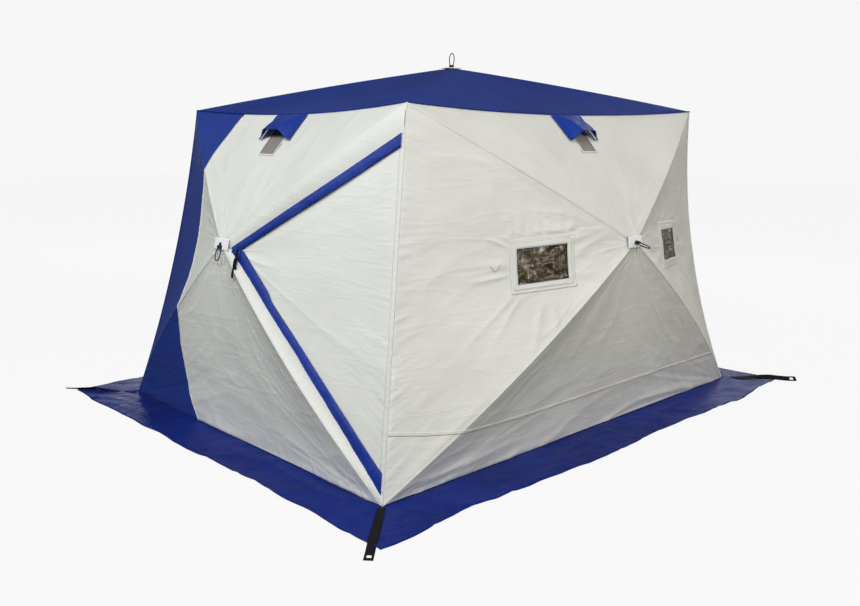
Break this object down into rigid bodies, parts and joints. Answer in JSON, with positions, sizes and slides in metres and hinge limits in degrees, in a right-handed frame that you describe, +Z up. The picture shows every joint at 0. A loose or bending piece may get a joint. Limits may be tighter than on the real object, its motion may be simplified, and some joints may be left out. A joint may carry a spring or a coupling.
{
  "type": "ice fishing shelter",
  "caption": "Pop-up hub shelter for ice fishing: fabric walls and roof bowed out by jointed rods, with a zipped door, windows, vents, snow skirt and anchor straps.",
  "frame": {"origin": "centre of the base, on the ground", "axes": "+Z up, +X along the long side, windowed long wall faces -Y, door wall faces -X"},
  "size_m": [3.9072, 2.9372, 2.0652],
  "materials": {
    "wall_fabric": "coated oxford cloth, light grey cream",
    "blue_fabric": "coated oxford cloth, blue",
    "skirt_fabric": "coated oxford cloth, dark blue",
    "zip_flap_fabric": "coated oxford cloth, mid blue",
    "black_webbing": "woven nylon webbing",
    "window_film": "clear vinyl film, tinted",
    "vent_mesh": "fine nylon mesh",
    "zip_tape": "woven zip tape with coil",
    "zip_metal": "black painted die casting",
    "hub_plastic": "moulded nylon",
    "hub_steel": "zinc plated steel",
    "rod_fibreglass": "pultruded fibreglass with moulded eye",
    "cord_black": "braided cord"
  },
  "bodies": {
    "shelter_skin": {"front_wall_fabric": "wall_fabric", "back_wall_fabric": "wall_fabric", "door_wall_fabric": "wall_fabric", "end_wall_fabric": "wall_fabric", "roof_fabric": "blue_fabric", "window_films_front": "window_film", "window_films_back": "window_film", "vent_meshes": "vent_mesh", "snow_skirt": "skirt_fabric", "anchor_straps": "black_webbing", "top_corner_pockets": "black_webbing", "bottom_corner_pockets": "black_webbing"},
    "front_hub_unit": {"front_hub": "hub_plastic", "front_hub_hardware": "hub_steel", "front_pull_loop": "cord_black"},
    "front_rod_lower_left_unit": {"front_rod_lower_left": "rod_fibreglass"},
    "front_rod_lower_right_unit": {"front_rod_lower_right": "rod_fibreglass"},
    "front_rod_upper_right_unit": {"front_rod_upper_right": "rod_fibreglass"},
    "front_rod_upper_left_unit": {"front_rod_upper_left": "rod_fibreglass"},
    "back_hub_unit": {"back_hub": "hub_plastic", "back_hub_hardware": "hub_steel", "back_pull_loop": "cord_black"},
    "back_rod_lower_left_unit": {"back_rod_lower_left": "rod_fibreglass"},
    "back_rod_lower_right_unit": {"back_rod_lower_right": "rod_fibreglass"},
    "back_rod_upper_right_unit": {"back_rod_upper_right": "rod_fibreglass"},
    "back_rod_upper_left_unit": {"back_rod_upper_left": "rod_fibreglass"},
    "door_hub_unit": {"door_hub": "hub_plastic", "door_hub_hardware": "hub_steel", "door_pull_loop": "cord_black"},
    "door_rod_lower_left_unit": {"door_rod_lower_left": "rod_fibreglass"},
    "door_rod_lower_right_unit": {"door_rod_lower_right": "rod_fibreglass"},
    "door_rod_upper_right_unit": {"door_rod_upper_right": "rod_fibreglass"},
    "door_rod_upper_left_unit": {"door_rod_upper_left": "rod_fibreglass"},
    "end_hub_unit": {"end_hub": "hub_plastic", "end_hub_hardware": "hub_steel", "end_pull_loop": "cord_black"},
    "end_rod_lower_left_unit": {"end_rod_lower_left": "rod_fibreglass"},
    "end_rod_lower_right_unit": {"end_rod_lower_right": "rod_fibreglass"},
    "end_rod_upper_right_unit": {"end_rod_upper_right": "rod_fibreglass"},
    "end_rod_upper_left_unit": {"end_rod_upper_left": "rod_fibreglass"},
    "roof_hub_unit": {"roof_hub": "hub_plastic", "roof_hub_hardware": "hub_steel", "roof_pull_loop": "cord_black"},
    "roof_rod_front_left_unit": {"roof_rod_front_left": "rod_fibreglass"},
    "roof_rod_front_right_unit": {"roof_rod_front_right": "rod_fibreglass"},
    "roof_rod_back_right_unit": {"roof_rod_back_right": "rod_fibreglass"},
    "roof_rod_back_left_unit": {"roof_rod_back_left": "rod_fibreglass"},
    "door_frame_unit": {"door_hinge_tape": "zip_tape", "zip_tapes": "zip_tape"},
    "door_leaf_unit": {"door_leaf": "wall_fabric", "door_zip_flaps": "zip_flap_fabric"},
    "zip_slider_upper_unit": {"zip_slider_upper": "zip_metal"},
    "zip_slider_lower_unit": {"zip_slider_lower": "zip_metal"},
    "front_vent_hood_unit": {"front_vent_hood": "blue_fabric"},
    "back_vent_hood_unit": {"back_vent_hood": "blue_fabric"},
    "door_vent_hood_unit": {"door_vent_hood": "blue_fabric"},
    "end_vent_hood_unit": {"end_vent_hood": "blue_fabric"}
  },
  "joints": [
    {"name": "front_hub_pop", "type": "slide", "parent": "shelter_skin", "child": "front_hub_unit", "axis": [0, -0.989, 0.1482], "range_m": [-0.636, 0], "deforming": ["front_wall_fabric", "window_films_front", "vent_meshes", "bottom_corner_pockets", "top_corner_pockets"]},
    {"name": "front_rod_lower_left_hinge", "type": "hinge", "parent": "front_hub_unit", "child": "front_rod_lower_left_unit", "pos_m": [-0.03032, -1.25796, 1.0433], "axis": [0.539, -0.1248, -0.833], "range_deg": [-20.8, 0]},
    {"name": "front_rod_lower_right_hinge", "type": "hinge", "parent": "front_hub_unit", "child": "front_rod_lower_right_unit", "pos_m": [0.03032, -1.25796, 1.0433], "axis": [0.539, 0.1248, 0.833], "range_deg": [-20.8, 0]},
    {"name": "front_rod_upper_right_hinge", "type": "hinge", "parent": "front_hub_unit", "child": "front_rod_upper_right_unit", "pos_m": [0.03116, -1.25241, 1.08032], "axis": [-0.5007, 0.1283, 0.856], "range_deg": [-27.5, 0]},
    {"name": "front_rod_upper_left_hinge", "type": "hinge", "parent": "front_hub_unit", "child": "front_rod_upper_left_unit", "pos_m": [-0.03116, -1.25241, 1.08032], "axis": [-0.5007, -0.1283, -0.856], "range_deg": [-27.5, 0]},
    {"name": "back_hub_pop", "type": "slide", "parent": "shelter_skin", "child": "back_hub_unit", "axis": [0, 0.989, 0.1482], "range_m": [-0.636, 0], "deforming": ["back_wall_fabric", "window_films_back", "vent_meshes", "bottom_corner_pockets", "top_corner_pockets"]},
    {"name": "back_rod_lower_left_hinge", "type": "hinge", "parent": "back_hub_unit", "child": "back_rod_lower_left_unit", "pos_m": [0.03032, 1.25796, 1.0433], "axis": [-0.539, 0.1248, -0.833], "range_deg": [-20.8, 0]},
    {"name": "back_rod_lower_right_hinge", "type": "hinge", "parent": "back_hub_unit", "child": "back_rod_lower_right_unit", "pos_m": [-0.03032, 1.25796, 1.0433], "axis": [-0.539, -0.1248, 0.833], "range_deg": [-20.8, 0]},
    {"name": "back_rod_upper_right_hinge", "type": "hinge", "parent": "back_hub_unit", "child": "back_rod_upper_right_unit", "pos_m": [-0.03116, 1.25241, 1.08032], "axis": [0.5007, -0.1283, 0.856], "range_deg": [-27.5, 0]},
    {"name": "back_rod_upper_left_hinge", "type": "hinge", "parent": "back_hub_unit", "child": "back_rod_upper_left_unit", "pos_m": [0.03116, 1.25241, 1.08032], "axis": [0.5007, 0.1283, -0.856], "range_deg": [-27.5, 0]},
    {"name": "door_hub_pop", "type": "slide", "parent": "shelter_skin", "child": "door_hub_unit", "axis": [-0.9803, 0, 0.1977], "range_m": [-0.542, 0], "deforming": ["door_wall_fabric", "vent_meshes", "bottom_corner_pockets", "top_corner_pockets"]},
    {"name": "door_rod_lower_left_hinge", "type": "hinge", "parent": "door_hub_unit", "child": "door_rod_lower_left_unit", "pos_m": [-1.64522, 0.02651, 1.03502], "axis": [-0.1456, -0.6767, -0.7217], "range_deg": [-22.5, 0]},
    {"name": "door_rod_lower_right_hinge", "type": "hinge", "parent": "door_hub_unit", "child": "door_rod_lower_right_unit", "pos_m": [-1.64522, -0.02651, 1.03502], "axis": [0.1456, -0.6767, 0.7217], "range_deg": [-22.5, 0]},
    {"name": "door_rod_upper_right_hinge", "type": "hinge", "parent": "door_hub_unit", "child": "door_rod_upper_right_unit", "pos_m": [-1.63575, -0.02723, 1.08199], "axis": [0.1496, 0.6542, 0.7414], "range_deg": [-30.4, 0]},
    {"name": "door_rod_upper_left_hinge", "type": "hinge", "parent": "door_hub_unit", "child": "door_rod_upper_left_unit", "pos_m": [-1.63575, 0.02723, 1.08199], "axis": [-0.1496, 0.6542, -0.7414], "range_deg": [-30.4, 0]},
    {"name": "end_hub_pop", "type": "slide", "parent": "shelter_skin", "child": "end_hub_unit", "axis": [0.9803, 0, 0.1977], "range_m": [-0.542, 0], "deforming": ["end_wall_fabric", "vent_meshes", "bottom_corner_pockets", "top_corner_pockets"]},
    {"name": "end_rod_lower_left_hinge", "type": "hinge", "parent": "end_hub_unit", "child": "end_rod_lower_left_unit", "pos_m": [1.64522, -0.02651, 1.03502], "axis": [0.1456, 0.6767, -0.7217], "range_deg": [-22.5, 0]},
    {"name": "end_rod_lower_right_hinge", "type": "hinge", "parent": "end_hub_unit", "child": "end_rod_lower_right_unit", "pos_m": [1.64522, 0.02651, 1.03502], "axis": [-0.1456, 0.6767, 0.7217], "range_deg": [-22.5, 0]},
    {"name": "end_rod_upper_right_hinge", "type": "hinge", "parent": "end_hub_unit", "child": "end_rod_upper_right_unit", "pos_m": [1.63575, 0.02723, 1.08199], "axis": [-0.1496, -0.6542, 0.7414], "range_deg": [-30.4, 0]},
    {"name": "end_rod_upper_left_hinge", "type": "hinge", "parent": "end_hub_unit", "child": "end_rod_upper_left_unit", "pos_m": [1.63575, -0.02723, 1.08199], "axis": [0.1496, -0.6542, -0.7414], "range_deg": [-30.4, 0]},
    {"name": "roof_hub_pop", "type": "slide", "parent": "shelter_skin", "child": "roof_hub_unit", "axis": [0, 0, 1], "range_m": [-0.464, 0], "deforming": ["roof_fabric", "top_corner_pockets"]},
    {"name": "roof_rod_front_left_hinge", "type": "hinge", "parent": "roof_hub_unit", "child": "roof_rod_front_left_unit", "pos_m": [-0.02973, -0.02031, 1.945], "axis": [0.5641, -0.8257, 0], "range_deg": [-19.4, 0]},
    {"name": "roof_rod_front_right_hinge", "type": "hinge", "parent": "roof_hub_unit", "child": "roof_rod_front_right_unit", "pos_m": [0.02973, -0.02031, 1.945], "axis": [0.5641, 0.8257, 0], "range_deg": [-19.4, 0]},
    {"name": "roof_rod_back_right_hinge", "type": "hinge", "parent": "roof_hub_unit", "child": "roof_rod_back_right_unit", "pos_m": [0.02973, 0.02031, 1.945], "axis": [-0.5641, 0.8257, 0], "range_deg": [-19.4, 0]},
    {"name": "roof_rod_back_left_hinge", "type": "hinge", "parent": "roof_hub_unit", "child": "roof_rod_back_left_unit", "pos_m": [-0.02973, 0.02031, 1.945], "axis": [-0.5641, -0.8257, 0], "range_deg": [-19.4, 0]},
    {"name": "door_frame_follow", "type": "hinge", "parent": "shelter_skin", "child": "door_frame_unit", "pos_m": [-1.43233, -0.98785, 0.83116], "axis": [0.1956, 0.1462, 0.9697], "range_deg": [-32.7, 0]},
    {"name": "door_swing", "type": "hinge", "parent": "door_frame_unit", "child": "door_leaf_unit", "pos_m": [-1.43233, -0.98785, 0.83116], "axis": [0.1956, 0.1462, 0.9697], "range_deg": [0, 150]},
    {"name": "zip_slide_upper", "type": "slide", "parent": "door_frame_unit", "child": "zip_slider_upper_unit", "axis": [0.3651, -0.763, 0.5334], "range_m": [0, 0.877]},
    {"name": "zip_slide_lower", "type": "slide", "parent": "door_frame_unit", "child": "zip_slider_lower_unit", "axis": [0.0493, -0.7218, -0.6903], "range_m": [0, 1.235]},
    {"name": "front_hood_fold", "type": "hinge", "parent": "shelter_skin", "child": "front_vent_hood_unit", "pos_m": [0, -0.80833, 1.70318], "axis": [1, 0, 0], "range_deg": [-35, 0]},
    {"name": "back_hood_fold", "type": "hinge", "parent": "shelter_skin", "child": "back_vent_hood_unit", "pos_m": [0, 0.80833, 1.70318], "axis": [-1, 0, 0], "range_deg": [-35, 0]},
    {"name": "door_hood_fold", "type": "hinge", "parent": "shelter_skin", "child": "door_vent_hood_unit", "pos_m": [-1.20355, 0, 1.70311], "axis": [0, -1, 0], "range_deg": [-35, 0]},
    {"name": "end_hood_fold", "type": "hinge", "parent": "shelter_skin", "child": "end_vent_hood_unit", "pos_m": [1.20355, 0, 1.70311], "axis": [0, 1, 0], "range_deg": [-35, 0]}
  ],
  "couplings": [
    {"joint": "front_rod_lower_left_hinge", "follows": "front_hub_pop", "rad_per_m": 0.5544},
    {"joint": "front_rod_lower_right_hinge", "follows": "front_hub_pop", "rad_per_m": 0.5544},
    {"joint": "front_rod_upper_right_hinge", "follows": "front_hub_pop", "rad_per_m": 0.73823},
    {"joint": "front_rod_upper_left_hinge", "follows": "front_hub_pop", "rad_per_m": 0.73823},
    {"joint": "back_rod_lower_left_hinge", "follows": "back_hub_pop", "rad_per_m": 0.5544},
    {"joint": "back_rod_lower_right_hinge", "follows": "back_hub_pop", "rad_per_m": 0.5544},
    {"joint": "back_rod_upper_right_hinge", "follows": "back_hub_pop", "rad_per_m": 0.73823},
    {"joint": "back_rod_upper_left_hinge", "follows": "back_hub_pop", "rad_per_m": 0.73823},
    {"joint": "door_rod_lower_left_hinge", "follows": "door_hub_pop", "rad_per_m": 0.7059},
    {"joint": "door_rod_lower_right_hinge", "follows": "door_hub_pop", "rad_per_m": 0.7059},
    {"joint": "door_rod_upper_right_hinge", "follows": "door_hub_pop", "rad_per_m": 0.96231},
    {"joint": "door_rod_upper_left_hinge", "follows": "door_hub_pop", "rad_per_m": 0.96231},
    {"joint": "end_rod_lower_left_hinge", "follows": "end_hub_pop", "rad_per_m": 0.7059},
    {"joint": "end_rod_lower_right_hinge", "follows": "end_hub_pop", "rad_per_m": 0.7059},
    {"joint": "end_rod_upper_right_hinge", "follows": "end_hub_pop", "rad_per_m": 0.96231},
    {"joint": "end_rod_upper_left_hinge", "follows": "end_hub_pop", "rad_per_m": 0.96231},
    {"joint": "roof_rod_front_left_hinge", "follows": "roof_hub_pop", "rad_per_m": 0.70822},
    {"joint": "roof_rod_front_right_hinge", "follows": "roof_hub_pop", "rad_per_m": 0.70822},
    {"joint": "roof_rod_back_right_hinge", "follows": "roof_hub_pop", "rad_per_m": 0.70822},
    {"joint": "roof_rod_back_left_hinge", "follows": "roof_hub_pop", "rad_per_m": 0.70822},
    {"joint": "door_frame_follow", "follows": "door_hub_pop", "rad_per_m": 1.0373}
  ]
}
